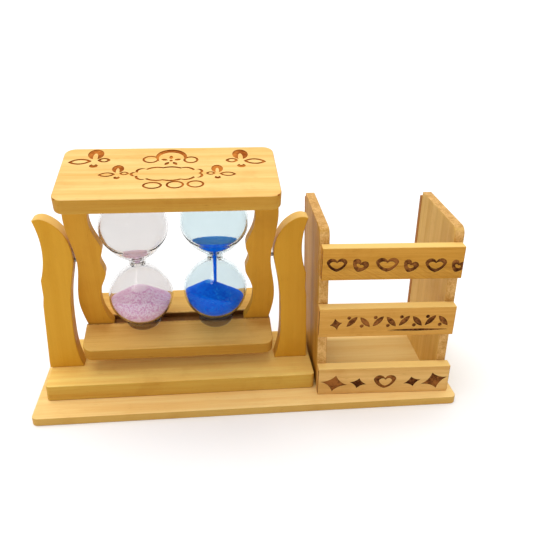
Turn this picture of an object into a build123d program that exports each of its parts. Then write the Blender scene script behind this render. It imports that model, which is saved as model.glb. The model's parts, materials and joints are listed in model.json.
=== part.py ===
from build123d import *
import math
import os

# A double hourglass hung in a swinging frame, with an open pen holder beside it, on one wooden base.
# Millimetres. The origin is the centre of the base's underside: +X runs along the base towards the
# pen holder, +Y to the back and +Z up.

# Base board and plinth
BASE_LENGTH = 210.0
BASE_DEPTH = 70.0
BASE_THICKNESS = 4.2
BASE_CORNER = 3.0
BASE_EASE = 0.4
PLINTH_LENGTH = 133.8
PLINTH_DEPTH = 43.2
PLINTH_THICKNESS = 8.5
PLINTH_CENTRE_X = -33.2
PLINTH_CORNER = 2.0
PLINTH_EASE = 0.6
PLINTH_TOP = BASE_THICKNESS + PLINTH_THICKNESS

# Pivot axis of the swinging frame, parallel to X
PIVOT_X = -34.5
PIVOT_Y = -1.0
PIVOT_Z = 71.45
REST_TILT = 13.0
PIN_RADIUS = 1.0
PIN_RUNNING_CLEARANCE = 0.05
PIN_PRESS = 0.02
PIN_START = 38.6
PIN_END = 55.6
PIN_CHAMFER = 0.2
SIDE_BORE_END = 38.3
POST_HOLE_START = 45.4

# Posts: the outline of the right one, as distance from the pivot's mid-plane and height
POST_THICKNESS = 7.9
POST_FOOT_OUTER = 66.4
POST_FOOT_INNER = 49.4
POST_TIP = (64.3, 91.5)
POST_EASE = 0.5
# Above this height the left post is stretched, which makes its tip this much higher
POST_STRETCH_START = 72.0
LEFT_POST_RISE = 1.6

# Swinging frame, in its own upright coordinates about the pivot
BOARD_LENGTH = 95.5
BOARD_DEPTH = 44.3
BOARD_THICKNESS = 7.1
BOARD_CORNER = 5.0
BOARD_EASE = 0.7
INNER_HALF_HEIGHT = 40.35
GROOVE_WIDTH = 6.0
GROOVE_DEPTH = 2.5
GROOVE_OFFSET = 0.4
SIDE_THICKNESS = 4.75
SIDE_TONGUE = INNER_HALF_HEIGHT + GROOVE_DEPTH
# Half of each long edge of a side piece, as distance from the mid-plane and height above the pivot
SIDE_OUTER_EDGE = [(46.6, 0), (47.3, 8), (48.9, 18.5), (49.2, 27), (48.3, 34), (46.9, 40.35)]
SIDE_INNER_EDGE = [(35.7, 0), (34.1, 6.7), (36.3, 14), (38.3, 23.5), (37.2, 32.5), (33.9, 40.35)]

# Vials: two oblate bulbs joined at a narrow neck, with a solid glass foot at each end
VIAL_SPACING = 37.6
VIAL_OFFSET = 0.3
PINK_BULB_DROP = 2.2
BULB_RADIUS = 16.1
BULB_HALF_HEIGHT = 14.8
BULB_CENTRE = 21.0
# From the neck to the widest part of a bulb: radius, height above the neck, and how far the inner
# surface lies inwards and upwards from there for each millimetre of wall
VIAL_SHOULDER = [
    (5.8, 4.4, 1.5, 0.8),
    (9.1, 7.5, 1.2, 0.9),
    (11.7, 10.35, 1.2, 0.7),
    (14.0, 14.0, 1.1, 0.5),
]
# Where a cubic curve's handles lie when it follows a quarter of an ellipse
QUARTER_HANDLE = 0.5523
GLASS_WALL = 0.9
NECK_RADIUS = 3.2
NECK_THICKENING = 2.2
NECK_BEAD_RADIUS = 3.3
NECK_BEAD_WIRE = 0.8
FOOT_RADIUS = 9.0
FOOT_INNER_END = 33.0
FOOT_EASE = 0.6

# Sand, level with the world while the frame leans
SAND_GAP = 0.1
HEAP_SLOPE = 0.66
HEAP_HEIGHT = 24.0
BLUE_HEAP_TIP = (-3.4, -3.4, -13.0)
BLUE_HEAP_TIP_RADIUS = 1.6
PINK_HEAP_TIP = (-0.4, -3.0, -13.6)
PINK_HEAP_TIP_RADIUS = 3.4
HEAP_TIP_ROUNDING = 0.97
BLUE_UPPER_LEVEL = 10.3
PINK_UPPER_LEVEL = 5.6
UPPER_SLOPE = 14.0
STREAM_START = -0.35
STREAM_TOP_RADIUS = 0.9
STREAM_FOOT_RADIUS = 0.65
STREAM_LENGTH = 17.0

# Pen holder, in its own coordinates about its centre: two panels joined by three front slats
HOLDER_X = 67.8
HOLDER_Y = 2.2
HOLDER_TURN = -2.0
HOLDER_WIDTH = 67.4
HOLDER_DEPTH = 51.0
HOLDER_TOP = 92.6
PANEL_THICKNESS = 4.75
# How far the panels lean to the left, in degrees, and how far in the left one's foot stands
LEFT_PANEL_LEAN = 1.9
LEFT_PANEL_INSET = 1.7
RIGHT_PANEL_LEAN = 0.5
# What is cut off a leaning piece to stand it level
FOOT_ALLOWANCE = 2.0
PANEL_NOSE = 4.0
PANEL_EASE = 0.4
STRIP_DEPTH = 4.0
STRIP_TOP = 89.5
STRIP_CHAMFER = 0.3
SLAT_THICKNESS = 5.4
SLAT_EASE = 0.5
# Each slat: left end, right end, underside, top
TOP_SLAT = (-33.9, 32.5, 69.1, 85.5)
MIDDLE_SLAT = (-33.7, 32.9, 38.3, 54.1)
BOTTOM_SLAT = (-32.4, 34.8, BASE_THICKNESS, 19.8)

# Burnt ornaments
ENGRAVING_DEPTH = 0.45
BOARD_ENGRAVING_DEPTH = 0.35
# The ovals under the crest: centre, half width, half height
CREST_OVALS = [(-7.0, -11.6, 4.2, 2.8), (2.6, -11.3, 3.9, 3.1), (11.3, -11.0, 3.8, 3.0)]
# The hearts and stars, from the left: distance from the holder's left, height, width, own height,
# line width of a heart, lean in degrees
HEARTS = [
    (6.7, 77.0, 9.6, 6.8, 1.4, 0),
    (17.4, 76.4, 7.9, 6.3, 1.9, -20),
    (30.1, 76.8, 10.9, 7.2, 1.6, 0),
    (41.0, 75.8, 7.4, 6.2, 1.9, -20),
    (53.0, 76.2, 10.3, 7.1, 1.5, 0),
    (63.5, 75.4, 7.0, 6.0, 1.8, -20),
]
STARS = [
    (9.5, 10.9, 14.6, 9.8, -10),
    (21.8, 10.6, 9.8, 6.2, -10),
    (49.6, 10.8, 10.0, 6.2, 14),
    (61.0, 11.1, 14.6, 10.0, 17),
]
SLAT_FRONT = -HOLDER_DEPTH / 2 - SLAT_THICKNESS


# Flat shapes of the ornaments

def leaf(length, width):
    """A leaf with two points, from the origin along +X."""
    upper = ThreePointArc((0, 0), (length / 2, width / 2), (length, 0))
    lower = ThreePointArc((length, 0), (length / 2, -width / 2), (0, 0))
    return make_face([upper, lower])


def leaf_ring(length, width, stroke):
    """The outline of a leaf, with a line of the given width."""
    inside = leaf(length - 3.0 * stroke, width - 2.0 * stroke)
    return leaf(length, width) - Pos(1.5 * stroke, 0) * inside


def heart(width, height):
    """A heart centred on the origin, point down."""
    point = (0, -height / 2)
    side = (width / 2, 0.2 * height)
    notch = (0, 0.27 * height)
    flank = ThreePointArc(point, (0.37 * width, -0.16 * height), side)
    lobe = ThreePointArc(side, (0.27 * width, 0.5 * height), notch)
    return make_face([flank, lobe, mirror(lobe, Plane.YZ), mirror(flank, Plane.YZ)])


def heart_ring(width, height, stroke):
    """The outline of a heart, with a line of the given width."""
    return heart(width, height) - heart(width - 2.2 * stroke, height - 2.4 * stroke)


def star(width, height):
    """A star of four points with hollow sides."""
    tips = [(width / 2, 0), (0, height / 2), (-width / 2, 0), (0, -height / 2)]
    sides = []
    for start, end in zip(tips, tips[1:] + tips[:1]):
        hollow = (0.37 * (start[0] + end[0]), 0.37 * (start[1] + end[1]))
        sides.append(ThreePointArc(start, hollow, end))
    return make_face(sides)


def scallop(half_width, half_height, lobes):
    """An oval whose edge is a row of round lobes."""
    def on_oval(turn, swell):
        angle = 2 * math.pi * turn / lobes
        return (swell * half_width * math.cos(angle), swell * half_height * math.sin(angle))

    edges = []
    for lobe in range(lobes):
        edges.append(ThreePointArc(on_oval(lobe, 1), on_oval(lobe + 0.5, 1.13), on_oval(lobe + 1, 1)))
    return make_face(edges)


def oval_ring(half_width, half_height, stroke):
    """An oval ring."""
    return Ellipse(half_width, half_height) - Ellipse(half_width - stroke, half_height - stroke)


def petal_ornament(scale, outward):
    """Four petals about a bare centre: a long one points outward, a round one to the back."""
    back_lobe = Pos(0, 5.6) * Ellipse(3.6, 4.6) - Pos(0, 3.0) * Ellipse(1.1, 3.4)
    front_lobe = Pos(0, -4.9) * Ellipse(1.9, 1.6) - Pos(0, -3.7) * Circle(0.7)
    long_petal = Pos(1.2, -0.6) * Rot(0, 0, -5) * leaf_ring(10.4, 5.2, 1.15)
    short_petal = Pos(-1.2, 0.1) * Rot(0, 0, 180) * leaf_ring(5.8, 4.0, 0.95)
    ornament = Sketch() + [back_lobe, front_lobe, long_petal, short_petal]
    if outward < 0:
        ornament = mirror(ornament, Plane.YZ)
    return ornament.scale(scale)


def crest():
    """The middle ornament: a crown with two side loops above a scalloped ring and three ovals."""
    crown = Pos(0.6, 13.4) * Ellipse(7.0, 6.7) - Pos(0.6, 11.6) * Ellipse(5.8, 5.6)
    loops = Pos(-8.6, 11.0) * oval_ring(3.7, 3.3, 1.0) + Pos(9.4, 10.2) * oval_ring(3.4, 3.1, 1.0)
    blossom = Pos(0.5, 9.6) * Circle(0.8)
    for petal in range(5):
        blossom += Pos(0.5, 9.6) * Rot(0, 0, 90 + 72 * petal) * Pos(1.5, 0) * leaf(3.2, 1.7)
    cloud = Pos(-0.8, -1.9) * (scallop(14.4, 5.7, 11) - scallop(13.3, 4.7, 11))
    drops = Sketch()
    for x, y, half_width, half_height in CREST_OVALS:
        drops += Pos(x, y) * oval_ring(half_width, half_height, 1.0)
    return [crown, loops, blossom, cloud, drops]


def board_ornaments():
    """All ornaments of the top board, seen from above."""
    large_left = Pos(-33.4, 10.8) * petal_ornament(1.0, -1)
    large_right = Pos(32.0, 9.2) * petal_ornament(1.0, 1)
    small_left = Pos(-22.4, -1.2) * petal_ornament(0.72, -1)
    small_right = Pos(21.0, -2.1) * petal_ornament(0.72, 1)
    return [large_left, large_right, small_left, small_right] + crest()


def heart_row():
    """The row of hearts on the top slat, large and small in turn, seen from the front."""
    left = -HOLDER_WIDTH / 2
    hearts = []
    for centre, height, width, tall, stroke, lean in HEARTS:
        hearts.append(Pos(left + centre, height) * Rot(0, 0, lean) * heart_ring(width, tall, stroke))
    return hearts


def star_row():
    """The stars and the heart of the bottom slat, seen from the front."""
    left = -HOLDER_WIDTH / 2
    figures = [Pos(left + 35.5, 11.1) * (heart(11.6, 8.0) - Pos(0.3, -0.2) * heart(6.6, 4.4))]
    for centre, height, width, tall, lean in STARS:
        figures.append(Pos(left + centre, height) * Rot(0, 0, lean) * star(width, tall))
    return figures


def garland():
    """A plain garland of leaves and berries for the middle slat, seen from the front."""
    left = -HOLDER_WIDTH / 2
    figures = [Pos(left + 8.3, 45.6) * Rot(0, 0, 12) * star(6.4, 6.8)]
    for step in range(8):
        x = left + 13.5 + 6.4 * step
        rise = 1 if step % 2 == 0 else -1
        figures.append(Pos(x, 46.6 - 2.6 * rise) * Rot(0, 0, 48 * rise) * leaf(7.4, 2.7))
        figures.append(Pos(x + 1.0, 46.6 + 2.3 * rise) * Circle(0.95))
    figures.append(Pos(left + 33.0, 41.6) * leaf(31.5, 1.3))
    return figures


# Wooden pieces

def eased(solid, faces, radius):
    """The solid with the edges of the given faces rounded."""
    edges = ShapeList()
    for face in faces:
        edges += face.edges()
    return fillet(edges, radius)


def flat_board(length, depth, thickness, corner, ease):
    """A board lying on Z = 0, with rounded corners and eased edges."""
    board = extrude(RectangleRounded(length, depth, corner), thickness)
    by_height = board.faces().sort_by(Axis.Z)
    return eased(board, [by_height[0], by_height[-1]], ease)


def base_board():
    return flat_board(BASE_LENGTH, BASE_DEPTH, BASE_THICKNESS, BASE_CORNER, BASE_EASE)


def plinth_board():
    plinth = flat_board(PLINTH_LENGTH, PLINTH_DEPTH, PLINTH_THICKNESS, PLINTH_CORNER, PLINTH_EASE)
    return Pos(PLINTH_CENTRE_X, 0, BASE_THICKNESS) * plinth


def post_outline(rise):
    """A post: a straight foot, a waisted inner edge, a bulge at the pivot and a tip raised by rise."""
    def stretched(distance, height):
        share = max(0.0, height - POST_STRETCH_START) / (POST_TIP[1] - POST_STRETCH_START)
        return (distance, height + rise * share)

    foot_outer = (POST_FOOT_OUTER, PLINTH_TOP)
    foot_shoulder = (POST_FOOT_OUTER, PLINTH_TOP + 3.8)
    foot_inner = (POST_FOOT_INNER, PLINTH_TOP)
    hollow_start = (64.3, 62.4)
    tip = stretched(*POST_TIP)
    outer = Polyline(foot_outer, foot_shoulder, (65.0, 49.0), (64.3, 53.5), hollow_start)
    hollow = ThreePointArc(hollow_start, stretched(61.7, 77.0), tip)
    bulge = [stretched(*point) for point in [(60.8, 92.35), (56.1, 90.5), (51.5, 86.0), (48.5, 79.0)]]
    waist = [(48.0, 72.0), (49.5, 63.4), (51.4, 52.3), (52.2, 36.7), (51.4, 21.0)]
    inner = Spline(tip, *bulge, *waist, foot_inner)
    return make_face([*outer.edges(), hollow, inner, Line(foot_inner, foot_outer)])


def right_post(rise=0.0):
    outline = Plane.XZ * post_outline(rise)
    post = extrude(outline, POST_THICKNESS / 2, both=True)
    by_depth = post.faces().sort_by(Axis.Y)
    post = eased(post, [by_depth[0], by_depth[-1]], POST_EASE)
    hole = pivot_cylinder(PIN_RADIUS - PIN_PRESS, POST_HOLE_START, PIN_END)
    return Pos(PIVOT_X, PIVOT_Y, 0) * (post - Pos(0, 0, PIVOT_Z) * hole)


def pivot_cylinder(radius, start, end):
    """A cylinder on the pivot axis, between two distances to the right of the mid-plane."""
    cylinder = Cylinder(radius, end - start, align=(Align.CENTER, Align.CENTER, Align.MIN))
    return Pos(start, 0, 0) * Rot(0, 90, 0) * cylinder


def right_pin():
    pin = pivot_cylinder(PIN_RADIUS, PIN_START, PIN_END)
    ends = pin.edges().filter_by(GeomType.CIRCLE)
    return Pos(PIVOT_X, PIVOT_Y, PIVOT_Z) * chamfer(ends, PIN_CHAMFER)


def to_left(solid):
    """The mirror image on the other side of the pivot's mid-plane."""
    return mirror(solid, Plane(origin=(PIVOT_X, 0, 0), z_dir=(1, 0, 0)))


# Swinging frame, built upright about the pivot

def frame_board():
    """The lower board with its groove upwards."""
    board = flat_board(BOARD_LENGTH, BOARD_DEPTH, BOARD_THICKNESS, BOARD_CORNER, BOARD_EASE)
    groove = Pos(0, GROOVE_OFFSET, BOARD_THICKNESS) * Box(BOARD_LENGTH + 2, GROOVE_WIDTH, 2 * GROOVE_DEPTH)
    return Pos(0, 0, -INNER_HALF_HEIGHT - BOARD_THICKNESS) * (board - groove)


def frame_top_board():
    board = mirror(frame_board(), Plane.XY)
    top = INNER_HALF_HEIGHT + BOARD_THICKNESS
    for ornament in board_ornaments():
        board -= Pos(0, 0, top) * extrude(ornament, BOARD_ENGRAVING_DEPTH, both=True)
    return board


def both_halves(half_edge):
    """The points of a whole edge from those above the pivot."""
    below = [(distance, -height) for distance, height in reversed(half_edge[1:])]
    return below + half_edge


def frame_right_side():
    """A side piece: waisted at the pivot, with a tongue in each board's groove."""
    outer = Spline(*both_halves(SIDE_OUTER_EDGE))
    inner = Spline(*both_halves(SIDE_INNER_EDGE))
    outline = [outer, inner]
    for end in (-1, 1):
        inner_corner = (SIDE_INNER_EDGE[-1][0], end * INNER_HALF_HEIGHT)
        outer_corner = (SIDE_OUTER_EDGE[-1][0], end * INNER_HALF_HEIGHT)
        inner_tip = (inner_corner[0], end * SIDE_TONGUE)
        outer_tip = (outer_corner[0], end * SIDE_TONGUE)
        outline += Polyline(inner_corner, inner_tip, outer_tip, outer_corner).edges()
    side = extrude(Plane.XZ * make_face(outline), SIDE_THICKNESS / 2, both=True)
    bore = pivot_cylinder(PIN_RADIUS + PIN_RUNNING_CLEARANCE, SIDE_BORE_END, BOARD_LENGTH)
    return side - bore


def half_vial(inset):
    """The upper bulb and half of the neck, moved in by the inset from the glass's outer surface."""
    neck = NECK_RADIUS - NECK_THICKENING * inset
    radius = BULB_RADIUS - inset
    height = BULB_HALF_HEIGHT - inset
    rising = [(out - inset * inwards, up + inset * upwards) for out, up, inwards, upwards in VIAL_SHOULDER]
    shoulder = Spline((neck, 0), *rising, (radius, BULB_CENTRE), tangents=[(0, 1), (0, 1)])
    top = (0, BULB_CENTRE + height)
    side_handle = (radius, BULB_CENTRE + QUARTER_HANDLE * height)
    top_handle = (QUARTER_HANDLE * radius, BULB_CENTRE + height)
    dome = Bezier((radius, BULB_CENTRE), side_handle, top_handle, top)
    axis = Line(top, (0, 0))
    floor = Line((0, 0), (neck, 0))
    return revolve(Plane.XZ * make_face([shoulder, dome, axis, floor]), Axis.Z, 360)


def with_lower_half(upper):
    """An upper half of a vial, joined to the same half turned over."""
    return upper + Rot(180, 0, 0) * upper


def upper_foot(drop):
    """The solid glass from the upper bulb to the top board, when the bulbs sit lower by drop."""
    height = INNER_HALF_HEIGHT + drop - FOOT_INNER_END
    foot = Cylinder(FOOT_RADIUS, height, align=(Align.CENTER, Align.CENTER, Align.MIN))
    rim = foot.edges().filter_by(GeomType.CIRCLE).sort_by(Axis.Z)[-1]
    return Pos(0, 0, FOOT_INNER_END) * fillet(rim, FOOT_EASE)


def vial_glass(drop=0.0):
    """Blown glass with both bulbs, a bead round the neck and a solid foot at each end."""
    upper = half_vial(0) + upper_foot(drop)
    lower = Rot(180, 0, 0) * (half_vial(0) + upper_foot(-drop))
    cavity = with_lower_half(half_vial(GLASS_WALL))
    return upper + lower + Torus(NECK_BEAD_RADIUS, NECK_BEAD_WIRE) - cavity


def sand_room():
    """The inside of the upper half of a vial, just clear of the glass."""
    return half_vial(GLASS_WALL + SAND_GAP)


def sand_cone(tip_radius):
    """A blunt cone at the slope of poured sand, its top on Z = 0."""
    foot_radius = tip_radius + HEAP_HEIGHT / HEAP_SLOPE
    return Cone(foot_radius, tip_radius, HEAP_HEIGHT, align=(Align.CENTER, Align.CENTER, Align.MAX))


def rounded_cone(tip_radius):
    """The same cone, rounded from its slope to just short of its axis."""
    cone = sand_cone(tip_radius)
    rounding = HEAP_TIP_ROUNDING * tip_radius / math.tan(math.atan(HEAP_SLOPE) / 2)
    return fillet(cone.edges().filter_by(GeomType.CIRCLE).sort_by(Axis.Z)[-1], rounding)


def truly_upright(place, solid):
    """A solid moved to a place in the leaning frame, and kept upright in the world."""
    return Pos(*place) * Rot(-REST_TILT, 0, 0) * solid


def heap(tip, tip_radius):
    """Sand piled in the lower bulb."""
    return Rot(180, 0, 0) * sand_room() & truly_upright(tip, rounded_cone(tip_radius))


def upper_sand(level):
    """Sand left in the upper bulb, its surface raised towards the front from true level."""
    below = Box(60, 60, 40, align=(Align.CENTER, Align.CENTER, Align.MAX))
    return sand_room() & truly_upright((0, 0, level), Rot(-UPPER_SLOPE, 0, 0) * below)


def sand_stream():
    """The thread of sand that falls true from the neck to the heap."""
    thread = Cone(
        STREAM_FOOT_RADIUS, STREAM_TOP_RADIUS, STREAM_LENGTH, align=(Align.CENTER, Align.CENTER, Align.MAX)
    )
    slope = truly_upright(BLUE_HEAP_TIP, sand_cone(BLUE_HEAP_TIP_RADIUS))
    return truly_upright((0, 0, STREAM_START), thread) - slope


def hung(solid):
    """A piece of the upright frame, moved to the pivot with the frame's lean to the front."""
    return Pos(PIVOT_X, PIVOT_Y, PIVOT_Z) * Rot(REST_TILT, 0, 0) * solid


def in_pink_vial(solid):
    return hung(Pos(VIAL_OFFSET - VIAL_SPACING / 2, 0, -PINK_BULB_DROP) * solid)


def in_blue_vial(solid):
    return hung(Pos(VIAL_OFFSET + VIAL_SPACING / 2, 0, 0) * solid)


# Pen holder, built about its own centre

def pen_panel():
    """An upright panel, rounded off at its front top corner. Its outer face is at X = 0, its foot long."""
    height = HOLDER_TOP - BASE_THICKNESS + FOOT_ALLOWANCE
    panel = Box(PANEL_THICKNESS, HOLDER_DEPTH, height, align=(Align.MAX, Align.CENTER, Align.MIN))
    nose = panel.edges().filter_by(Axis.X).sort_by(Axis.Z)[-2:].sort_by(Axis.Y)[0]
    panel = fillet(nose, PANEL_NOSE)
    by_side = panel.faces().sort_by(Axis.X)
    return Pos(0, 0, -FOOT_ALLOWANCE) * eased(panel, [by_side[0], by_side[-1]], PANEL_EASE)


def rear_strip():
    """The dark strip along the back edge of a panel. Its outer face is at X = 0, its foot long."""
    height = STRIP_TOP - BASE_THICKNESS + FOOT_ALLOWANCE
    strip = Box(PANEL_THICKNESS, STRIP_DEPTH, height, align=(Align.MAX, Align.MIN, Align.MIN))
    strip = chamfer(strip.edges().filter_by(Axis.Z), STRIP_CHAMFER)
    return Pos(0, HOLDER_DEPTH / 2, -FOOT_ALLOWANCE) * strip


def standing(solid):
    """A piece of the holder cut level at its foot and set down on the base board."""
    below = Box(2 * HOLDER_WIDTH, 2 * HOLDER_DEPTH, 4 * FOOT_ALLOWANCE)
    return Pos(0, 0, BASE_THICKNESS) * (solid - Pos(0, 0, -2 * FOOT_ALLOWANCE) * below)


def leaning_right(solid):
    return standing(Pos(HOLDER_WIDTH / 2, 0, 0) * Rot(0, -RIGHT_PANEL_LEAN, 0) * solid)


def leaning_left(solid):
    place = Pos(LEFT_PANEL_INSET - HOLDER_WIDTH / 2, 0, 0) * Rot(0, -LEFT_PANEL_LEAN, 0)
    return standing(place * mirror(solid, Plane.YZ))


def slat(left, right, bottom, top):
    """A front slat with all its edges rounded."""
    blank = Box(right - left, SLAT_THICKNESS, top - bottom, align=(Align.MIN, Align.MIN, Align.MIN))
    return Pos(left, SLAT_FRONT, bottom) * fillet(blank.edges(), SLAT_EASE)


def engraved_slat(extent, figures):
    """A front slat with figures cut into its face."""
    face = Plane(origin=(0, SLAT_FRONT, 0), x_dir=(1, 0, 0), z_dir=(0, -1, 0))
    carved = slat(*extent)
    for figure in figures:
        carved -= extrude(face * figure, ENGRAVING_DEPTH, both=True)
    return carved


def on_base(solid):
    """A piece of the pen holder in its place."""
    return Pos(HOLDER_X, HOLDER_Y, 0) * Rot(0, 0, HOLDER_TURN) * solid


pieces = {
    "base_board": base_board(),
    "plinth_board": plinth_board(),
    "right_post": right_post(),
    "left_post": to_left(right_post(LEFT_POST_RISE)),
    "right_pivot_pin": right_pin(),
    "left_pivot_pin": to_left(right_pin()),
    "frame_top_board": hung(frame_top_board()),
    "frame_bottom_board": hung(frame_board()),
    "frame_right_side": hung(frame_right_side()),
    "frame_left_side": hung(mirror(frame_right_side(), Plane.YZ)),
    "pink_vial_glass": in_pink_vial(vial_glass(PINK_BULB_DROP)),
    "blue_vial_glass": in_blue_vial(vial_glass()),
    "pink_sand_lower": in_pink_vial(heap(PINK_HEAP_TIP, PINK_HEAP_TIP_RADIUS)),
    "pink_sand_upper": in_pink_vial(upper_sand(PINK_UPPER_LEVEL)),
    "blue_sand_lower": in_blue_vial(heap(BLUE_HEAP_TIP, BLUE_HEAP_TIP_RADIUS)),
    "blue_sand_upper": in_blue_vial(upper_sand(BLUE_UPPER_LEVEL)),
    "blue_sand_stream": in_blue_vial(sand_stream()),
    "pen_right_panel": on_base(leaning_right(pen_panel())),
    "pen_left_panel": on_base(leaning_left(pen_panel())),
    "pen_right_rear_strip": on_base(leaning_right(rear_strip())),
    "pen_left_rear_strip": on_base(leaning_left(rear_strip())),
    "slat_top": on_base(engraved_slat(TOP_SLAT, heart_row())),
    "slat_middle": on_base(engraved_slat(MIDDLE_SLAT, garland())),
    "slat_bottom": on_base(engraved_slat(BOTTOM_SLAT, star_row())),
}

os.makedirs("parts", exist_ok=True)
for name, solid in pieces.items():
    solid.label = name
    export_step(solid, f"parts/{name}.step")
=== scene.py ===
import json
import math

import bpy
from mathutils import Matrix, Vector


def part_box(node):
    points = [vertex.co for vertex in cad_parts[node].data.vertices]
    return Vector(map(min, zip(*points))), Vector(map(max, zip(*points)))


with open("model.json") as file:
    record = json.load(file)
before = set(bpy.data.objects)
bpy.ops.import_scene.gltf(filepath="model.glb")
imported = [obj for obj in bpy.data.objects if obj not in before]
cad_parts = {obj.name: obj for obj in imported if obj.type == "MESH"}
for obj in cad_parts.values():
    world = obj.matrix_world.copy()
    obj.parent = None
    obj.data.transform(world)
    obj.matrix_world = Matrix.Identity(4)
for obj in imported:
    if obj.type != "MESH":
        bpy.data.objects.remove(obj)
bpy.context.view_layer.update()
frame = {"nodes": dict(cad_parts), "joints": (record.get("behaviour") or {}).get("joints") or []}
nodes = frame["nodes"]

MM = 0.001
PIVOT = Vector(frame["joints"][0]["pos_m"])
REST_TILT = math.radians(13.0)
HOLDER_TURN = math.radians(-2.0)
FRAME_BODY = "swing_frame"
STAND_BODY = "stand"


# Places: each group of pieces has its own axes, which its materials follow

def place(origin, rotation):
    """An origin and three unit axes, in the object's frame."""
    turned = rotation.to_3x3()
    return {"origin": Vector(origin), "axes": [turned.col[i].copy() for i in range(3)]}


FRAME_PLACE = place(PIVOT, Matrix.Rotation(REST_TILT, 4, "X"))
BASE_PLACE = place((0, 0, 0), Matrix.Identity(4))
holder_low, holder_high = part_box("pen_left_panel")
other_low, other_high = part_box("pen_right_panel")
HOLDER_CENTRE = ((holder_low + other_high) / 2 + (holder_high + other_low) / 2) / 2
HOLDER_PLACE = place((HOLDER_CENTRE.x, HOLDER_CENTRE.y, 0), Matrix.Rotation(HOLDER_TURN, 4, "Z"))


# Shader helpers

def linear(red, green, blue):
    """An sRGB colour from 0 to 255 as the linear RGBA that sockets take."""
    def channel(value):
        share = value / 255
        return share / 12.92 if share <= 0.04045 else ((share + 0.055) / 1.055) ** 2.4
    return (channel(red), channel(green), channel(blue), 1.0)


class Shader:
    """A material with a Principled shader, and short calls for the nodes that feed it."""

    def __init__(self, name):
        self.material = bpy.data.materials.new(name)
        self.material.use_nodes = True
        self.tree = self.material.node_tree
        self.surface = self.tree.nodes["Principled BSDF"]

    def node(self, kind, **settings):
        """A new node of a kind, with its settings."""
        made = self.tree.nodes.new(kind)
        for key, value in settings.items():
            setattr(made, key, value)
        return made

    def feed(self, socket, value):
        """An output is linked to the socket, and a plain value is set on it."""
        if isinstance(value, bpy.types.NodeSocket):
            self.tree.links.new(value, socket)
        else:
            socket.default_value = value

    def math(self, operation, first, second=0.0):
        made = self.node("ShaderNodeMath", operation=operation)
        self.feed(made.inputs[0], first)
        self.feed(made.inputs[1], second)
        return made.outputs[0]

    def span(self, value, low, high, to_low=0.0, to_high=1.0):
        """The value mapped smoothly from low..high to to_low..to_high."""
        made = self.node("ShaderNodeMapRange", interpolation_type="SMOOTHSTEP")
        for socket, number in zip(made.inputs[:5], (value, low, high, to_low, to_high)):
            self.feed(socket, number)
        return made.outputs[0]

    def mix(self, share, first, second, blend="MIX"):
        made = self.node("ShaderNodeMix", data_type="RGBA", blend_type=blend)
        self.feed(made.inputs[0], share)
        self.feed(made.inputs[6], first)
        self.feed(made.inputs[7], second)
        return made.outputs[2]

    def noise(self, vector, scale, detail=3.0, roughness=0.55, distortion=0.0):
        made = self.node("ShaderNodeTexNoise")
        self.feed(made.inputs["Vector"], vector)
        made.inputs["Scale"].default_value = scale
        made.inputs["Detail"].default_value = detail
        made.inputs["Roughness"].default_value = roughness
        made.inputs["Distortion"].default_value = distortion
        return made.outputs["Fac"]

    def cells(self, vector, scale):
        """One cell to a grain, with its distance and a colour of its own."""
        made = self.node("ShaderNodeTexVoronoi")
        self.feed(made.inputs["Vector"], vector)
        made.inputs["Scale"].default_value = scale
        return made

    def stretched(self, vector, scale, shift=(0.0, 0.0, 0.0)):
        made = self.node("ShaderNodeMapping")
        self.feed(made.inputs["Vector"], vector)
        made.inputs["Scale"].default_value = scale
        made.inputs["Location"].default_value = shift
        return made.outputs[0]

    def local(self, where):
        """The point in the piece's own axes, as (vector, x, y, z)."""
        point = self.node("ShaderNodeTexCoord").outputs["Object"]
        offset = self.node("ShaderNodeVectorMath", operation="SUBTRACT")
        self.feed(offset.inputs[0], point)
        offset.inputs[1].default_value = where["origin"]
        parts = []
        for axis in where["axes"]:
            dot = self.node("ShaderNodeVectorMath", operation="DOT_PRODUCT")
            self.feed(dot.inputs[0], offset.outputs[0])
            dot.inputs[1].default_value = axis
            parts.append(dot.outputs["Value"])
        joined = self.node("ShaderNodeCombineXYZ")
        for socket, part in zip(joined.inputs, parts):
            self.feed(socket, part)
        return joined.outputs[0], parts

    def facing(self, direction):
        """How far the true surface faces a direction of the object's frame, from -1 to 1."""
        made = self.node("ShaderNodeVectorMath", operation="DOT_PRODUCT")
        self.feed(made.inputs[0], self.node("ShaderNodeTexCoord").outputs["Normal"])
        made.inputs[1].default_value = direction
        return made.outputs["Value"]

    def bump(self, height, distance, strength=1.0):
        """Relief of the whole surface, where a height of 1 is the distance in metres."""
        made = self.node("ShaderNodeBump")
        made.inputs["Strength"].default_value = strength
        made.inputs["Distance"].default_value = distance
        self.feed(made.inputs["Height"], height)
        self.feed(self.surface.inputs["Normal"], made.outputs[0])

    def finish(self, color=None, roughness=None, **fixed):
        """Patterned colour and roughness by nodes, and what is even set on the shader's sockets."""
        if color is not None:
            self.feed(self.surface.inputs["Base Color"], color)
        if roughness is not None:
            self.feed(self.surface.inputs["Roughness"], roughness)
        for key, value in fixed.items():
            self.surface.inputs[key.replace("_", " ")].default_value = value
        return self.material


# Wood. Noise scales are per metre, and the pairs are along the grain and across it.

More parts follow.
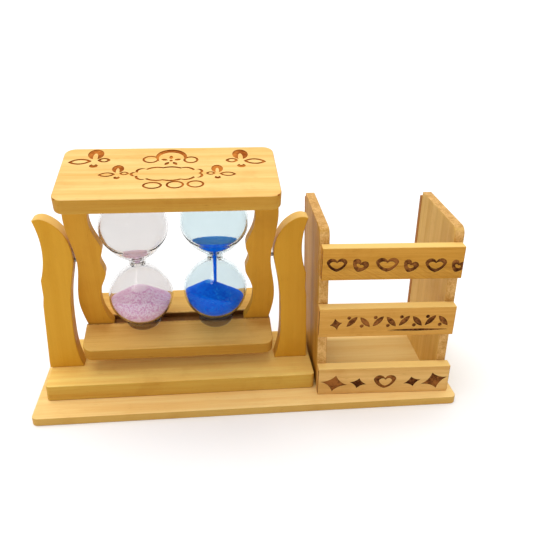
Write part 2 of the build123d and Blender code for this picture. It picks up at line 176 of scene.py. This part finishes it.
ALONG_X = 0
ALONG_Y = 1
ALONG_Z = 2
SWAY_SCALES = (9, 30)
BAND_SCALES = (6, 190)
FIBRE_SCALES = (50, 1700)
PORE_SCALES = (230, 2600)
BAND_SHARE = 1.15
FIBRE_SHARE = 0.5
SWAY_SHARE = 0.35
TONE_SPREAD = 0.33
PORE_EDGES = (0.68, 0.78)
PORE_DARKNESS = 0.35
GRIME_SCALE = 70.0
GRIME_EDGES = (0.5, 0.75)
GRIME_AMOUNT = 0.3
FIBRE_RELIEF = 0.7
BAND_RELIEF = 0.5
WOOD_RELIEF = 0.12 * MM
WOOD_SPECULAR = 0.05
COAT_ROUGHNESS = 0.35
MOTTLE_SCALE = 1100.0
MOTTLE_SHARE = 0.8
MOTTLE_RELIEF = 2.0
BLOTCH_SCALE = 260.0
BLOTCH_SHARE = 0.6
CUT_START_BLUR = 0.09 * MM
CUT_END_BLUR = 0.1 * MM
CUT_SHALLOW = 0.05 * MM
CUT_DEEP = 0.6 * MM
SOOT_SCALE = 620.0
SOOT_SHARE = 0.7
SOOT_PATCH_SCALE = 110.0
SOOT_EDGES = (0.65, 1.05)
CHAR_RELIEF = 1.8
CHAR_ROUGHNESS = (0.8, 0.8, 0.8, 1.0)
TEAR_SCALES = (420, 900, 400)
TEAR_REACH = 2.6 * MM
TORN_AMOUNT = 0.75
SCAR_RELIEF = 2.0
FACE_SLACK = 0.1 * MM
SAW_SLANT = math.radians(-28.0)
SAW_SCALES = (60, 60, 2600)
SAW_EDGES = (0.5, 0.62)
SAW_DARKNESS = 0.25


def wood_color(shader, vector, grain, tones, shift, contrast):
    """Straight grain along one axis: broad bands, fine fibres and short pores, from dark to light."""
    def along(length_scale, width_scale):
        scale = [width_scale] * 3
        scale[grain] = length_scale
        return shader.stretched(vector, scale, shift)

    sway = shader.noise(along(*SWAY_SCALES), 1.0, 2.0)
    bands = shader.noise(along(*BAND_SCALES), 1.0, 4.0, 0.6, 0.35)
    fibres = shader.noise(along(*FIBRE_SCALES), 1.0, 3.0, 0.65)
    pores = shader.noise(along(*PORE_SCALES), 1.0, 1.0, 0.5)
    banded = shader.math("MULTIPLY", bands, BAND_SHARE)
    light = shader.math("ADD", banded, shader.math("MULTIPLY", fibres, FIBRE_SHARE))
    light = shader.math("ADD", light, shader.math("MULTIPLY", sway, SWAY_SHARE))
    light = shader.span(light, 1.0 - TONE_SPREAD / contrast, 1.0 + TONE_SPREAD / contrast)
    dark, pale = tones
    color = shader.mix(light, dark, pale)
    flecks = shader.span(pores, *PORE_EDGES, 0.0, PORE_DARKNESS * contrast)
    fleck_tone = shader.mix(1.0, dark, FLECK_TINT, "MULTIPLY")
    return shader.mix(flecks, color, fleck_tone), fibres, bands


def wood(
    name, where, grain, tones, shift=(0.0, 0.0, 0.0), contrast=1.0, rough=0.5, gloss=0.02, extras=()
):
    """A sanded wooden piece. Each extra is a function that changes its colour, relief and roughness."""
    shader = Shader(name)
    vector, parts = shader.local(where)
    color, fibres, bands = wood_color(shader, vector, grain, tones, shift, contrast)
    grime = shader.noise(shader.stretched(vector, (1, 1, 1), shift), GRIME_SCALE, 4.0, 0.6)
    dirty = shader.span(grime, *GRIME_EDGES, 0.0, GRIME_AMOUNT * contrast)
    color = shader.mix(dirty, color, GRIME_TINT, "MULTIPLY")
    raised = shader.math("MULTIPLY", fibres, FIBRE_RELIEF)
    relief = shader.math("ADD", raised, shader.math("MULTIPLY", bands, BAND_RELIEF))
    roughness = shader.span(fibres, 0.3, 0.7, rough - 0.08, rough + 0.1)
    for extra in extras:
        color, relief, roughness = extra(shader, vector, parts, color, relief, roughness)
    shader.bump(relief, WOOD_RELIEF)
    return shader.finish(
        color, roughness, Specular_IOR_Level=WOOD_SPECULAR, Coat_Weight=gloss,
        Coat_Roughness=COAT_ROUGHNESS
    )


def shaded_sides(direction, tint, amount):
    """Painted shade on the sides of a board, darkened by an amount because less light reaches them than
    the face. Its face looks along the direction.
    """
    def extra(shader, vector, parts, color, relief, roughness):
        turned = shader.span(shader.facing(direction), 0.5, 0.95, amount, 0.0)
        return shader.mix(turned, color, tint, "MULTIPLY"), relief, roughness
    return extra


def shaded_patch(low, high, soft, tint, amount):
    """A patch of a board's face between two corners, darkened as painted shade where the parts around
    it keep light off.
    """
    def extra(shader, vector, parts, color, relief, roughness):
        inside = amount
        for part in (ALONG_X, ALONG_Y):
            rising = shader.span(parts[part], low[part], low[part] + soft)
            falling = shader.span(parts[part], high[part] - soft, high[part], 1.0, 0.0)
            inside = shader.math("MULTIPLY", inside, shader.math("MULTIPLY", rising, falling))
        return shader.mix(inside, color, tint, "MULTIPLY"), relief, roughness
    return extra


def lit_tops(tint, amount):
    """Painted light: faces that look up, paler than the rest, for the light that falls on them from
    above.
    """
    def extra(shader, vector, parts, color, relief, roughness):
        turned = shader.span(shader.facing(up), 0.2, 0.75, 0.0, amount)
        return shader.mix(turned, color, tint), relief, roughness
    return extra


def end_grain(direction, tones):
    """Open, mottled end grain on the faces along a direction, both ways."""
    def extra(shader, vector, parts, color, relief, roughness):
        turned = shader.span(shader.math("ABSOLUTE", shader.facing(direction)), 0.6, 0.9)
        mottle = shader.noise(vector, MOTTLE_SCALE, 4.0, 0.7)
        blotch = shader.noise(vector, BLOTCH_SCALE, 3.0)
        fine = shader.math("MULTIPLY", mottle, MOTTLE_SHARE)
        tone = shader.math("ADD", fine, shader.math("MULTIPLY", blotch, BLOTCH_SHARE))
        fuzz = shader.mix(shader.span(tone, 0.5, 0.9), *tones)
        fuzzy = shader.math("MULTIPLY", shader.math("MULTIPLY", mottle, turned), MOTTLE_RELIEF)
        return shader.mix(turned, color, fuzz), shader.math("ADD", relief, fuzzy), roughness
    return extra


def depth_mask(shader, parts, axis, sign, surface, shallow, deep, margins):
    """1 on what lies below a flat face by more than shallow and less than deep, inside the margins."""
    depth = shader.math("SUBTRACT", surface, shader.math("MULTIPLY", parts[axis], sign))
    start = shader.span(depth, shallow, shallow + CUT_START_BLUR)
    end = shader.span(depth, deep, deep + CUT_END_BLUR, 1.0, 0.0)
    mask = shader.math("MULTIPLY", start, end)
    for part, low, high in margins:
        above = shader.math("GREATER_THAN", parts[part], low)
        below = shader.math("LESS_THAN", parts[part], high)
        mask = shader.math("MULTIPLY", mask, shader.math("MULTIPLY", above, below))
    return mask


def burnt_cuts(axis, sign, surface, tones, margins):
    """Burnt ornaments: soot of uneven darkness on the floor and walls of the cuts."""
    def extra(shader, vector, parts, color, relief, roughness):
        burnt = depth_mask(shader, parts, axis, sign, surface, CUT_SHALLOW, CUT_DEEP, margins)
        soot = shader.noise(vector, SOOT_SCALE, 3.0, 0.65)
        patch = shader.noise(vector, SOOT_PATCH_SCALE, 2.0)
        tone = shader.math("ADD", shader.math("MULTIPLY", soot, SOOT_SHARE), patch)
        scorched = shader.mix(shader.span(tone, *SOOT_EDGES), *tones)
        charred = shader.math("MULTIPLY", shader.math("MULTIPLY", burnt, soot), CHAR_RELIEF)
        color = shader.mix(burnt, color, scorched)
        relief = shader.math("ADD", relief, charred)
        return color, relief, shader.mix(burnt, roughness, CHAR_ROUGHNESS)
    return extra


def rough_groove(side, groove_shade_tone, lip_tone):
    """The sawn groove of a frame board: painted shade darkens it inside, with torn, stained strips
    along its lips.
    """
    def extra(shader, vector, parts, color, relief, roughness):
        height = shader.math("MULTIPLY", parts[ALONG_Z], side)
        tear = shader.noise(shader.stretched(vector, TEAR_SCALES), 1.0, 4.0, 0.7)
        past_face = shader.span(height, INNER_FACE + FACE_SLACK, INNER_FACE + 4 * FACE_SLACK)
        above_floor = shader.math("LESS_THAN", height, INNER_FACE + GROOVE_DEPTH + FACE_SLACK)
        inside = shader.math("MULTIPLY", past_face, above_floor)
        within = shader.math("ABSOLUTE", shader.math("SUBTRACT", parts[ALONG_Y], GROOVE_OFFSET))
        between = shader.math("LESS_THAN", within, GROOVE_HALF + 2 * FACE_SLACK)
        groove = shader.math("MULTIPLY", inside, between)
        on_face = shader.math("LESS_THAN", height, INNER_FACE + FACE_SLACK)
        lip = shader.math("SUBTRACT", within, shader.math("MULTIPLY", tear, TEAR_REACH))
        near_lip = shader.span(lip, GROOVE_HALF - 0.9 * MM, GROOVE_HALF - 0.3 * MM, TORN_AMOUNT, 0.0)
        torn = shader.math("MULTIPLY", on_face, near_lip)
        color = shader.mix(torn, color, lip_tone)
        # Painted shade inside the groove, mottled with the lip tone.
        color = shader.mix(groove, color, shader.mix(tear, groove_shade_tone, lip_tone))
        scars = shader.math("MULTIPLY", shader.math("MULTIPLY", torn, tear), SCAR_RELIEF)
        return color, shader.math("ADD", relief, scars), roughness
    return extra


def saw_marks(low, high):
    """Fine slanting saw marks on the lower part of a slat's face."""
    def extra(shader, vector, parts, color, relief, roughness):
        turned = shader.node("ShaderNodeMapping")
        shader.feed(turned.inputs["Vector"], vector)
        turned.inputs["Rotation"].default_value = (0.0, SAW_SLANT, 0.0)
        marks = shader.noise(shader.stretched(turned.outputs[0], SAW_SCALES), 1.0, 1.0)
        zone = shader.span(parts[ALONG_Z], low, high, 1.0, 0.0)
        cut = shader.math("MULTIPLY", shader.span(marks, *SAW_EDGES), zone)
        color = shader.mix(shader.math("MULTIPLY", cut, SAW_DARKNESS), color, GRIME_TINT, "MULTIPLY")
        return color, shader.math("SUBTRACT", relief, cut), roughness
    return extra


def paint(node, material):
    """The CAD node takes this material alone."""
    mesh = nodes[node].data
    mesh.materials.clear()
    mesh.materials.append(material)


FLECK_TINT = linear(176, 140, 100)
GRIME_TINT = linear(222, 196, 160)
BASE_TONES = (linear(235, 186, 108), linear(250, 220, 150))
PLINTH_TONES = (linear(236, 186, 94), linear(250, 224, 132))
TOP_TONES = (linear(232, 176, 92), linear(250, 214, 140))
BOTTOM_TONES = (linear(210, 156, 72), linear(234, 192, 107))
POST_TONES = (linear(207, 149, 40), linear(219, 163, 54))
SIDE_TONES = (linear(199, 140, 40), linear(213, 156, 54))
LEFT_PANEL_TONES = (linear(171, 119, 34), linear(196, 146, 58))
RIGHT_PANEL_TONES = (linear(202, 156, 72), linear(224, 184, 102))
# Painted shade: the rear strips' dark tones stand in for the shade on their sides.
STRIP_SHADE_TONES = (linear(150, 92, 24), linear(190, 128, 46))
SLAT_TONES = {
    "slat_top": (linear(183, 124, 38), linear(209, 152, 64)),
    "slat_middle": (linear(192, 134, 54), linear(217, 163, 82)),
    "slat_bottom": (linear(204, 153, 80), linear(229, 185, 114)),
}
END_TONES = (linear(186, 134, 62), linear(226, 180, 112))
# Painted shade for the sides of boards, which get less light than their faces.
SIDE_SHADE_TINT = linear(203, 183, 125)
# Painted light for faces that look up.
TOP_LIGHT_TINT = linear(250, 214, 130)
# Painted shade on the floor inside the pen holder, where its panels keep light off.
HOLDER_FLOOR_SHADE = linear(216, 214, 204)
BOARD_BURN = (linear(146, 72, 18), linear(202, 122, 48))
SLAT_BURN = (linear(72, 34, 12), linear(158, 98, 46))
# Painted shade inside the frame boards' grooves.
GROOVE_SHADE = linear(84, 52, 22)
GROOVE_LIP = linear(150, 100, 48)

# The frame boards' sizes are part.py's, from the pivot and along the frame's own axes.
MARGIN = 1.2 * MM
BOARD_HALF_LENGTH = 47.75 * MM
BOARD_HALF_DEPTH = 22.15 * MM
INNER_FACE = 40.35 * MM
BOARD_TOP = INNER_FACE + 7.1 * MM
GROOVE_HALF = 3.0 * MM
GROOVE_DEPTH = 2.5 * MM
GROOVE_OFFSET = 0.4 * MM
SLAT_FACE = 30.9 * MM

frame_up = tuple(FRAME_PLACE["axes"][2])
frame_down = tuple(-FRAME_PLACE["axes"][2])
holder_front = tuple(-HOLDER_PLACE["axes"][1])
up = (0.0, 0.0, 1.0)

paint("base_board", wood(
    "base_board_pine", BASE_PLACE, ALONG_X, BASE_TONES, contrast=0.7, extras=[
        shaded_sides(up, SIDE_SHADE_TINT, 0.8),
        shaded_patch(holder_low, other_high, 6.0 * MM, HOLDER_FLOOR_SHADE, 1.0),
    ]
))
paint("plinth_board", wood(
    "plinth_pine", BASE_PLACE, ALONG_X, PLINTH_TONES, shift=(3, 7, 1), contrast=0.8,
    extras=[shaded_sides(up, SIDE_SHADE_TINT, 0.76)]
))
for index, node in enumerate(("left_post", "right_post")):
    paint(node, wood(
        node + "_wood", BASE_PLACE, ALONG_Z, POST_TONES, shift=(5 * index, 3, 2), contrast=0.5,
        rough=0.42, gloss=0.05, extras=[lit_tops(TOP_LIGHT_TINT, 0.5)]
    ))
for index, node in enumerate(("frame_left_side", "frame_right_side")):
    paint(node, wood(
        node + "_wood", FRAME_PLACE, ALONG_Z, SIDE_TONES, shift=(11 + 5 * index, 4, 6), contrast=0.6,
        rough=0.42, gloss=0.04
    ))

board_margins = [
    (ALONG_X, -BOARD_HALF_LENGTH + MARGIN, BOARD_HALF_LENGTH - MARGIN),
    (ALONG_Y, -BOARD_HALF_DEPTH + MARGIN, BOARD_HALF_DEPTH - MARGIN),
]
paint("frame_top_board", wood(
    "top_board_pine", FRAME_PLACE, ALONG_X, TOP_TONES, shift=(1, 2, 9), contrast=0.8, rough=0.45,
    extras=[
        shaded_sides(frame_up, SIDE_SHADE_TINT, 1.0),
        rough_groove(1.0, GROOVE_SHADE, GROOVE_LIP),
        burnt_cuts(ALONG_Z, 1.0, BOARD_TOP, BOARD_BURN, board_margins),
    ]
))
paint("frame_bottom_board", wood(
    "bottom_board_pine", FRAME_PLACE, ALONG_X, BOTTOM_TONES, shift=(6, 4, 2), contrast=0.9, rough=0.45,
    extras=[
        shaded_sides(frame_up, SIDE_SHADE_TINT, 0.86),
        rough_groove(-1.0, GROOVE_SHADE, GROOVE_LIP),
    ]
))
for index, (node, tones) in enumerate((
    ("pen_left_panel", LEFT_PANEL_TONES), ("pen_right_panel", RIGHT_PANEL_TONES)
)):
    paint(node, wood(
        node + "_pine", HOLDER_PLACE, ALONG_Z, tones, shift=(2 + 7 * index, 8, 3),
        extras=[end_grain(holder_front, END_TONES), end_grain(up, END_TONES)]
    ))
# The rear strips take dark tones, which paint in the shade on their sides.
for index, node in enumerate(("pen_left_rear_strip", "pen_right_rear_strip")):
    paint(node, wood(
        node + "_painted_shade", HOLDER_PLACE, ALONG_Z, STRIP_SHADE_TONES, shift=(9, 5 * index, 3), contrast=0.9
    ))

for index, node in enumerate(("slat_top", "slat_middle", "slat_bottom")):
    low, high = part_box(node)
    slat_margins = [(ALONG_Z, low.z + MARGIN, high.z - MARGIN)]
    extras = [lit_tops(TOP_LIGHT_TINT, 0.7), burnt_cuts(ALONG_Y, -1.0, SLAT_FACE, SLAT_BURN, slat_margins)]
    if node == "slat_top":
        extras.insert(0, saw_marks(low.z + 6.0 * MM, low.z + 9.0 * MM))
    paint(node, wood(
        node + "_pine", HOLDER_PLACE, ALONG_X, SLAT_TONES[node], shift=(4, 6 * index, 7), rough=0.45,
        extras=extras
    ))


# Metal, glass and sand

FOOT_TINT = linear(188, 182, 180)
# Painted shade for the glass's outline.
RIM_SHADE_TINT = linear(126, 134, 142)
THIN_WALL_TINT = linear(252, 252, 252)
PINK_TINT = linear(232, 230, 229)
PINK_DUST = linear(170, 120, 150)
PINK_GRAINS = (linear(234, 174, 218), linear(255, 236, 255))
PINK_GLINT = linear(255, 240, 250)
# Painted light on the level top of the pink sand.
PINK_LIT_TOP = linear(255, 236, 250)
BLUE_TINT = linear(226, 235, 237)
BLUE_DUST = linear(60, 100, 150)
BLUE_GRAINS = (linear(0, 86, 236), linear(0, 124, 255))
BLUE_GLINT = linear(40, 150, 255)
# Painted light on the level top of the blue sand.
BLUE_LIT_TOP = linear(90, 190, 255)
STEEL_TONES = (linear(120, 118, 116), linear(176, 174, 170))

# Heights are from the middle of a vial's neck, along the frame's own upright.
PINK_BULB_DROP = 2.2 * MM
FOOT_EDGES = (35.4 * MM, 36.4 * MM)
FOOT_ROUGHNESS = 0.2
SWIRL_EDGES = (2.2 * MM, 4.0 * MM)
SWIRL_RELIEF = 3.0
BEAD_EDGES = (1.6 * MM, 2.8 * MM)
BEAD_CLEARNESS = 0.55
DUST_EDGES = (3.0 * MM, 6.0 * MM)
DUST_AMOUNT = 0.55
RIM_EDGES = (0.76, 0.98)
RIM_AMOUNT = 0.9
GLASS_RELIEF = 0.05 * MM
GLASS_IOR = 1.12
GRAIN_SCALE = 1900.0
GRAIN_RELIEF = 0.15 * MM
GLINT_EDGES = (0.94, 0.97)
LIT_TOP_EDGES = (0.9, 0.96)
LIT_TOP_AMOUNT = 0.85


def pin_steel():
    """Drawn steel, with fine lines along the pin."""
    shader = Shader("pin_steel")
    vector, _ = shader.local(BASE_PLACE)
    drawn = shader.noise(shader.stretched(vector, (60, 4000, 4000)), 1.0, 2.0)
    color = shader.mix(drawn, *STEEL_TONES)
    shader.bump(drawn, 0.02 * MM)
    return shader.finish(color, shader.span(drawn, 0.3, 0.7, 0.25, 0.4), Metallic=1.0)


def vial_glass(name, tint, drop, dust_tone):
    """Clear blown glass with faint streaks, dust in the upper bulb and slightly frosted feet."""
    shader = Shader(name)
    vector, parts = shader.local(FRAME_PLACE)
    height = shader.math("ADD", parts[ALONG_Z], drop)
    foot = shader.span(shader.math("ABSOLUTE", height), *FOOT_EDGES)
    streaks = shader.noise(shader.stretched(vector, (70, 70, 260)), 1.0, 2.0)
    ripple = shader.noise(vector, 900.0, 2.0)
    near_neck = shader.span(shader.math("ABSOLUTE", height), *SWIRL_EDGES, 1.0, 0.0)
    swirl = shader.math("MULTIPLY", near_neck, ripple)
    uneven = shader.math("MULTIPLY", streaks, 0.5)
    uneven = shader.math("ADD", uneven, shader.math("MULTIPLY", swirl, SWIRL_RELIEF))
    frosted = shader.math("MULTIPLY", shader.math("MULTIPLY", ripple, foot), 0.7)
    shader.bump(shader.math("ADD", uneven, frosted), GLASS_RELIEF, 0.6)
    specks = shader.span(shader.cells(vector, 1500.0).outputs["Distance"], 0.12, 0.18, 1.0, 0.0)
    drift = shader.span(shader.noise(vector, 130.0, 2.0), 0.52, 0.66)
    upper = shader.math("MULTIPLY", shader.span(height, *DUST_EDGES), DUST_AMOUNT)
    dust = shader.math("MULTIPLY", shader.math("MULTIPLY", specks, drift), upper)
    color = shader.mix(foot, tint, FOOT_TINT)
    color = shader.mix(dust, color, dust_tone)
    # Painted shade: the glass is darkened toward its outline, where it is seen edge-on.
    edge_on = shader.node("ShaderNodeLayerWeight").outputs["Facing"]
    color = shader.mix(shader.span(edge_on, *RIM_EDGES, 0.0, RIM_AMOUNT), color, RIM_SHADE_TINT)
    roughness = shader.math("MULTIPLY", foot, FOOT_ROUGHNESS)
    material = shader.finish(
        color, roughness, Transmission_Weight=1.0, IOR=GLASS_IOR, Coat_Weight=0.1
    )
    bead = shader.span(shader.math("ABSOLUTE", height), *BEAD_EDGES, BEAD_CLEARNESS, 0.0)
    let_light_in(shader, color, bead)
    return material


def see_through(shader, color, below, share):
    """The shader below, with a share of plain clear wall mixed in, which doesn't bend the view."""
    clear = shader.node("ShaderNodeBsdfTransparent")
    shader.feed(clear.inputs["Color"], color)
    chosen = shader.node("ShaderNodeMixShader")
    shader.feed(chosen.inputs[0], share)
    shader.tree.links.new(below, chosen.inputs[1])
    shader.tree.links.new(clear.outputs[0], chosen.inputs[2])
    return chosen.outputs[0]


def let_light_in(shader, tint, thin):
    """Lamp and room light goes through the wall to the sand. Where it is thin, it bends less."""
    thin_tint = shader.mix(0.5, tint, THIN_WALL_TINT)
    wall = see_through(shader, thin_tint, shader.surface.outputs[0], thin)
    path = shader.node("ShaderNodeLightPath").outputs
    lit = shader.math("MAXIMUM", path["Is Shadow Ray"], path["Is Diffuse Ray"])
    wall = see_through(shader, THIN_WALL_TINT, wall, lit)
    shader.tree.links.new(wall, shader.tree.nodes["Material Output"].inputs["Surface"])


def sand(name, tones, sparkle, lit_top_tone):
    """Fine dry grains of mixed tone, with a few glints, and a paler tone painted where the surface is
    level and faces up, for the light that falls on it.
    """
    shader = Shader(name)
    vector, _ = shader.local(FRAME_PLACE)
    grain = shader.cells(vector, GRAIN_SCALE)
    tone = shader.node("ShaderNodeSeparateColor")
    shader.feed(tone.inputs[0], grain.outputs["Color"])
    patch = shader.noise(vector, 160.0, 3.0)
    dark, pale = tones
    mixed = shader.math("ADD", tone.outputs[0], shader.math("MULTIPLY", patch, 0.2))
    color = shader.mix(shader.span(mixed, 0.25, 0.95), dark, pale)
    # Painted glints: a few grains are painted paler, as well as glossier.
    glint = shader.span(tone.outputs[1], *GLINT_EDGES)
    # Painted light: where the sand is level and faces up it is painted paler.
    level = shader.span(shader.facing(up), *LIT_TOP_EDGES, 0.0, LIT_TOP_AMOUNT)
    color = shader.mix(level, color, shader.mix(tone.outputs[2], lit_top_tone, pale))
    color = shader.mix(glint, color, sparkle)
    heaped = shader.math("MULTIPLY", patch, 1.2)
    relief = shader.math("ADD", shader.math("SUBTRACT", 1.0, grain.outputs["Distance"]), heaped)
    shader.bump(relief, GRAIN_RELIEF)
    roughness = shader.mix(glint, (0.75, 0.75, 0.75, 1.0), (0.3, 0.3, 0.3, 1.0))
    return shader.finish(color, roughness, Specular_IOR_Level=0.04)


steel = pin_steel()
for node in ("left_pivot_pin", "right_pivot_pin"):
    paint(node, steel)
paint("pink_vial_glass", vial_glass(
    "pink_vial_clear_glass", PINK_TINT, PINK_BULB_DROP, PINK_DUST
))
paint("blue_vial_glass", vial_glass(
    "blue_vial_clear_glass", BLUE_TINT, 0.0, BLUE_DUST
))
pink = sand("pink_sand_grains", PINK_GRAINS, PINK_GLINT, PINK_LIT_TOP)
blue = sand("blue_sand_grains", BLUE_GRAINS, BLUE_GLINT, BLUE_LIT_TOP)
for node in ("pink_sand_lower", "pink_sand_upper"):
    paint(node, pink)
for node in ("blue_sand_lower", "blue_sand_upper", "blue_sand_stream"):
    paint(node, blue)


# Surroundings

FLOOR_SIZE = 12.0
FLOOR_COLOR = (0.93, 0.93, 0.93, 1.0)
ROOM_LEAN = (0.0, 0.6, 0.8)
ROOM_EDGES = (-0.7, 0.9)
ROOM_STRENGTHS = (0.14, 1.0)
CAMERA_PLACE = (-0.0197, -0.2744, 0.1969)
CAMERA_YAW = math.radians(6.262)
CAMERA_PITCH = math.radians(25.69)
CAMERA_ROLL = math.radians(-0.928)
CAMERA_LENS = 41.2
SENSOR_WIDTH = 36.0


def floor():
    """A plain pale floor that runs out of view."""
    bpy.ops.mesh.primitive_plane_add(size=FLOOR_SIZE, location=(0, 0, 0))
    made = bpy.context.object
    made.name = "floor"
    shader = Shader("floor_paint")
    shader.finish(FLOOR_COLOR, 0.6, Specular_IOR_Level=0.1)
    made.data.materials.append(shader.material)


def sun_light(name, strength, direction, spread):
    """A soft lamp far off in a direction, even over the whole floor. The spread is in degrees."""
    data = bpy.data.lights.new(name, "SUN")
    data.energy = strength
    data.angle = math.radians(spread)
    made = bpy.data.objects.new(name, data)
    made.rotation_euler = Vector(direction).to_track_quat("Z", "Y").to_euler()
    bpy.context.scene.collection.objects.link(made)


def world_light():
    """A pale room, brightest above and behind the object. It looks white to the camera all round."""
    world = bpy.data.worlds.new("studio")
    world.use_nodes = True
    tree = world.node_tree
    background = tree.nodes["Background"]
    background.inputs["Color"].default_value = (1.0, 1.0, 1.0, 1.0)
    direction = tree.nodes.new("ShaderNodeTexCoord")
    lean = tree.nodes.new("ShaderNodeVectorMath")
    lean.operation = "DOT_PRODUCT"
    lean.inputs[1].default_value = ROOM_LEAN
    tree.links.new(direction.outputs["Generated"], lean.inputs[0])
    strength = tree.nodes.new("ShaderNodeMapRange")
    strength.interpolation_type = "SMOOTHSTEP"
    for socket, value in zip(strength.inputs[1:5], (*ROOM_EDGES, *ROOM_STRENGTHS)):
        socket.default_value = value
    tree.links.new(lean.outputs["Value"], strength.inputs[0])
    seen = tree.nodes.new("ShaderNodeMath")
    seen.operation = "MAXIMUM"
    tree.links.new(strength.outputs[0], seen.inputs[0])
    path = tree.nodes.new("ShaderNodeLightPath")
    tree.links.new(path.outputs["Is Camera Ray"], seen.inputs[1])
    tree.links.new(seen.outputs[0], background.inputs["Strength"])
    bpy.context.scene.world = world


def photo_camera():
    """The camera of the view that the object is known from."""
    ahead = math.cos(CAMERA_PITCH)
    forward = Vector((
        math.sin(CAMERA_YAW) * ahead, math.cos(CAMERA_YAW) * ahead, -math.sin(CAMERA_PITCH)
    ))
    level = Vector((math.cos(CAMERA_YAW), -math.sin(CAMERA_YAW), 0.0))
    down = forward.cross(level)
    right = math.cos(CAMERA_ROLL) * level + math.sin(CAMERA_ROLL) * down
    below = -math.sin(CAMERA_ROLL) * level + math.cos(CAMERA_ROLL) * down
    data = bpy.data.cameras.new("camera")
    data.sensor_width = SENSOR_WIDTH
    data.lens = CAMERA_LENS
    data.clip_start = 0.01
    data.clip_end = 50.0
    made = bpy.data.objects.new("camera", data)
    turned = Matrix((right, -below, -forward)).transposed().to_4x4()
    made.matrix_world = Matrix.Translation(CAMERA_PLACE) @ turned
    bpy.context.scene.collection.objects.link(made)
    bpy.context.scene.camera = made


floor()
world_light()
sun_light("key", strength=1.28, direction=(-0.2, 0.05, 1.0), spread=50.0)
sun_light("fill", strength=0.5, direction=(-0.3, -0.75, 0.6), spread=18.0)
photo_camera()
bpy.context.scene.view_settings.view_transform = "Standard"
